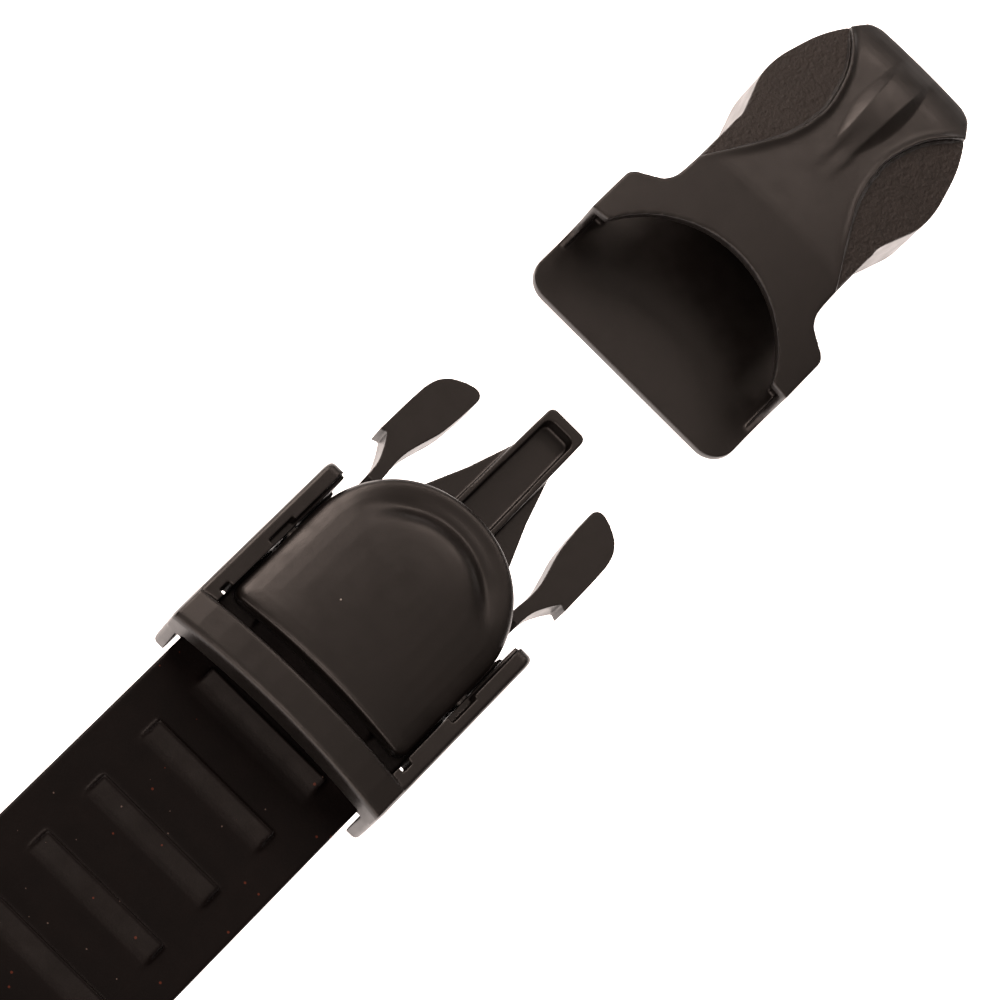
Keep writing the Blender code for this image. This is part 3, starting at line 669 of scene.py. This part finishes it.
def make_panel(side, name):
    """Grip panel, let into the recess beside the spine."""
    inner = panel_inner(-0.15)
    edge = [(20.0, WAIST_HALF)] + [p for p in shoulder_half() if 20.6 < p[0] < 40.2]
    outline = [(x, side * y) for x, y in at_socket(inner + edge[::-1])]
    panel = prism(name, outline, 1.0, TALL)
    boolean(panel, make_crown(f"{name}_top", PANEL_STEP), "INTERSECT")
    boolean(panel, make_crown(f"{name}_under", PANEL_STEP + PANEL_THICKNESS), "DIFFERENCE")
    mould(panel, 0.1, 4)
    reshape(panel, grain)
    return lighten(panel, 110000)


# ---------------------------------------------------------------- thumb lever

def lever_arch(x, y):
    """How far the lever's arch rises: full at the rear, and fading towards the nose."""
    fade = max(x - AXLE_X, 0.0) / (LEVER_NOSE - AXLE_X)
    return (1 - (y / LEVER_HALF_WIDTH) ** 2) * (1 - 0.7 * fade**2)


def lever_ring(inset, level, crown):
    """One contour of the lever: straight sides, a half-round nose and round rear corners."""
    radius = LEVER_HALF_WIDTH - inset
    rear = LEVER_REAR + inset
    corner = max(1.4 - inset, 0.3)
    edge = radius - corner
    ring = arc(LEVER_NOSE - LEVER_HALF_WIDTH, 0, radius, -90, 90, 80)
    ring += arc(rear + corner, edge, corner, 90, 180, 8)
    ring += [(rear, edge - 2 * edge * i / 40) for i in range(1, 40)]
    ring += arc(rear + corner, -edge, corner, 180, 270, 8)
    return [(x, y, level + crown * lever_arch(x, y)) for x, y in ring]


def make_hub(side):
    """Lug under the lever that the axle runs through."""
    profile = arc(AXLE_X, AXLE_Z, HUB_RADIUS, 180, 360, 40)
    profile += [(AXLE_X + HUB_RADIUS + 0.8, LEVER_UNDERSIDE + 0.8)]
    profile += [(AXLE_X - HUB_RADIUS - 0.8, LEVER_UNDERSIDE + 0.8)]
    return side_prism(f"hub_{side}", profile, *sorted((side * HUB_INNER, side * HUB_OUTER)))


def carve_lever(points, normals):
    """The crescent dish behind the nose's rim."""
    centre = LEVER_NOSE - LEVER_HALF_WIDTH
    radius = np.hypot(points[:, 0] - centre, points[:, 1])
    angle = np.degrees(np.arctan2(np.abs(points[:, 1]), points[:, 0] - centre))
    dish = np.exp(-(((radius - DISH_RADIUS) / DISH_WIDTH) ** 2)) * (1 - step(angle, 30, 80))
    on_top = (normals[:, 2] > 0.4) & (points[:, 2] > LEVER_TOP - 0.6)
    shift = np.zeros_like(points)
    shift[:, 2] = np.where(on_top, -DISH_DEPTH * dish, 0.0)
    return shift


def make_lever():
    """Arched lever with a rim below, the pawl under its rear edge and two hubs on the axle."""
    under = [(9.0, LEVER_UNDERSIDE), (LEVER_WALL, LEVER_UNDERSIDE)]
    under += [(LEVER_WALL, LEVER_RIM_BOTTOM), (0.7, LEVER_RIM_BOTTOM)]
    rings = [lever_ring(inset, level, LEVER_UNDER_CROWN) for inset, level in under]
    over = [(0.1, -2.0), (0.0, -1.3), (0.02, -0.75), (0.12, -0.42), (0.35, -0.2), (0.7, -0.09), (1.2, -0.04)]
    over += [(2.0, 0.0), (3.4, 0.0), (5.0, 0.0), (7.0, 0.0), (9.0, 0.0), (10.5, 0.0)]
    rings += [lever_ring(inset, LEVER_TOP + drop, LEVER_CROWN) for inset, drop in over]
    lever = loft("lever_body", rings)
    top = LEVER_UNDERSIDE + LEVER_UNDER_CROWN + 0.4
    pawl = [(PAWL_REAR, top), (PAWL_REAR, PAWL_TIP + 0.1), (PAWL_REAR + 0.4, PAWL_TIP)]
    pawl += [(PAWL_REAR + 0.9, PAWL_TIP), (PAWL_REAR + 1.85, LEVER_UNDERSIDE + 0.5), (PAWL_REAR + 1.85, top)]
    boolean(lever, side_prism("pawl", pawl, -PAWL_HALF_WIDTH, PAWL_HALF_WIDTH), "UNION")
    for side in (1, -1):
        boolean(lever, make_hub(side), "UNION")
    bore = circle(AXLE_X, AXLE_Z, AXLE_HOLE)
    boolean(lever, side_prism("hub_bore", bore, -LEVER_HALF_WIDTH - 1, LEVER_HALF_WIDTH + 1), "DIFFERENCE")
    mould(lever, 0.14, 4)
    reshape(lever, carve_lever)
    return lighten(lever, 90000)


# ---------------------------------------------------------------- latch arms

def arm_outline():
    """Plan of the +Y arm: a thin neck, a square hook shoulder and a long rounded thumb pad."""
    root = arc(23.8, 10.4, 1.2, 90, 270, 16)
    neck = [(29.5, 9.6), (31.2, 9.75), (33.0, 9.65), (35.0, 9.2)]
    inner = curve_through(neck + [(37.3, 8.65), (40.0, 8.4), (42.6, 8.3)])
    tip = arc(42.9, 9.3, 1.0, -80, 25, 12)
    pad = [(43.5, 10.6), (42.7, 11.9), (41.6, 12.8), (40.2, 13.25)]
    outer = curve_through(pad + [(38.0, 13.4), (32.6, 13.46)])
    hook = curve_through([(32.95, 12.7), (31.4, 11.8), (29.5, 11.1), (26.5, 10.9)])
    return root + inner + tip + outer + hook


def make_arm(side, name):
    """Latch arm, thinner at its root than at its pad."""
    outline = [(x, side * y) for x, y in arm_outline()]
    arm = prism(name, outline, ARM_BOTTOM, ARM_TOP)
    rise = [(20, ARM_ROOT_TOP), (26.1, ARM_ROOT_TOP), (28.4, ARM_TOP + 0.5), (20, ARM_TOP + 0.5)]
    boolean(arm, side_prism(f"{name}_rise", rise, *sorted((side * 5.0, side * 16.0))), "DIFFERENCE")
    mould(arm, 0.1, 4)
    return lighten(arm, 40000)


# ---------------------------------------------------------------- stage

def make_floor_sheet():
    """Plain sheet that glows, so that it shows evenly white under the part."""
    bm = bmesh.new()
    bmesh.ops.create_grid(bm, x_segments=1, y_segments=1, size=2.0)
    sheet = add_object("studio_floor", bm)
    sheet.location = (0, 0, -0.0005)
    mat, nodes, links, shader = new_material("studio_floor")
    shader.inputs["Base Color"].default_value = (0.9, 0.9, 0.9, 1.0)
    shader.inputs["Roughness"].default_value = 0.9
    shader.inputs["Emission Color"].default_value = (1.0, 0.9, 0.86, 1.0)
    shader.inputs["Emission Strength"].default_value = 2.2
    sheet.data.materials.append(mat)


def add_light(name, place, target, size, power):
    """Rectangular soft lamp, turned to its target."""
    data = bpy.data.lights.new(name, "AREA")
    data.shape = "RECTANGLE"
    data.size, data.size_y = size
    data.energy = power
    data.color = LAMP_COLOUR
    lamp = bpy.data.objects.new(name, data)
    lamp.location = place
    lamp.rotation_euler = (Vector(target) - Vector(place)).to_track_quat("-Z", "Y").to_euler()
    bpy.context.scene.collection.objects.link(lamp)


def make_lights():
    """Soft, slightly warm studio light, shown without a film curve so that the background stays white."""
    bpy.context.scene.view_settings.view_transform = "Standard"
    world = bpy.data.worlds.new("studio")
    bpy.context.scene.world = world
    world.use_nodes = True
    background = world.node_tree.nodes["Background"].inputs
    background["Color"].default_value = (1.0, 0.82, 0.72, 1.0)
    background["Strength"].default_value = 0.10
    target = (0.04, 0.0, 0.005)
    add_light("overhead", (0.14, 0.0, 1.25), target, (1.6, 1.6), 3.8)
    add_light("side", (0.5, 0.75, 0.65), target, (0.5, 0.4), 5.0)
    add_light("back", (0.95, 0.1, 0.75), target, (0.6, 0.3), 2.2)
    add_light("rear", (-0.55, 0.1, 0.95), target, (0.5, 0.5), 2.8)
    add_light("low_rear", (-1.1, 0.0, 0.45), target, (1.4, 0.5), 7.0)


def make_camera():
    """Long lens from high up behind the strap, rolled so that the part lies across the frame."""
    azimuth, elevation, roll = (math.radians(v) for v in (VIEW_AZIMUTH, VIEW_ELEVATION, VIEW_ROLL))
    away = Vector((
        math.cos(elevation) * math.cos(azimuth),
        math.cos(elevation) * math.sin(azimuth),
        math.sin(elevation),
    ))
    data = bpy.data.cameras.new("camera")
    data.sensor_width = 36.0
    data.lens = VIEW_LENS
    data.clip_start, data.clip_end = 0.01, 20.0
    camera = bpy.data.objects.new("camera", data)
    turn = (-away).to_track_quat("-Z", "Y") @ Euler((0, 0, roll)).to_quaternion()
    camera.location = (Vector(VIEW_TARGET) + away * VIEW_DISTANCE) * MM
    camera.rotation_mode = "QUATERNION"
    camera.rotation_quaternion = turn
    bpy.context.scene.collection.objects.link(camera)
    bpy.context.scene.camera = camera


# ---------------------------------------------------------------- assembly

def main():
    """Dresses every CAD node: with a finer piece in its place, or with a material."""
    nylon = moulded_plastic("black_nylon", (0.0045, 0.0036, 0.0032), (0.0065, 0.0050, 0.0044), 0.36, 0.02)
    panel_skin = grained_plastic()
    metal = steel()
    bush_skin = moulded_plastic("bush_plastic", (0.03, 0.03, 0.03), (0.045, 0.045, 0.045), 0.5, 0.0)

    body = mould(copy_of("slider_frame", "frame_body"), 0.14, 4)
    place(lighten(body, 120000), "slider", "black_nylon", nylon, "slider_frame")
    strap = mould(copy_of("strap", "strap_body"), 0.22, 3)
    place(lighten(strap, 120000), "slider", "strap_rubber", rubber(), "strap")
    for node in ("strap_bar", "lever_axle", "lever_spring"):
        frame["nodes"][node].data.materials[0] = metal
    frame["nodes"]["post_bush"].data.materials[0] = bush_skin
    place(make_lever(), "lever", "black_nylon", nylon, "thumb_lever")
    place(make_arm(1, "arm_left"), "left_arm", "black_nylon", nylon, "latch_arm_left")
    place(make_arm(-1, "arm_right"), "right_arm", "black_nylon", nylon, "latch_arm_right")
    place(make_socket(), "socket", "black_nylon", nylon, "socket_shell")
    place(make_panel(1, "panel_left"), "socket", "grained_panel", panel_skin, "grip_panel_left")
    place(make_panel(-1, "panel_right"), "socket", "grained_panel", panel_skin, "grip_panel_right")

    make_floor_sheet()
    make_lights()
    make_camera()


main()
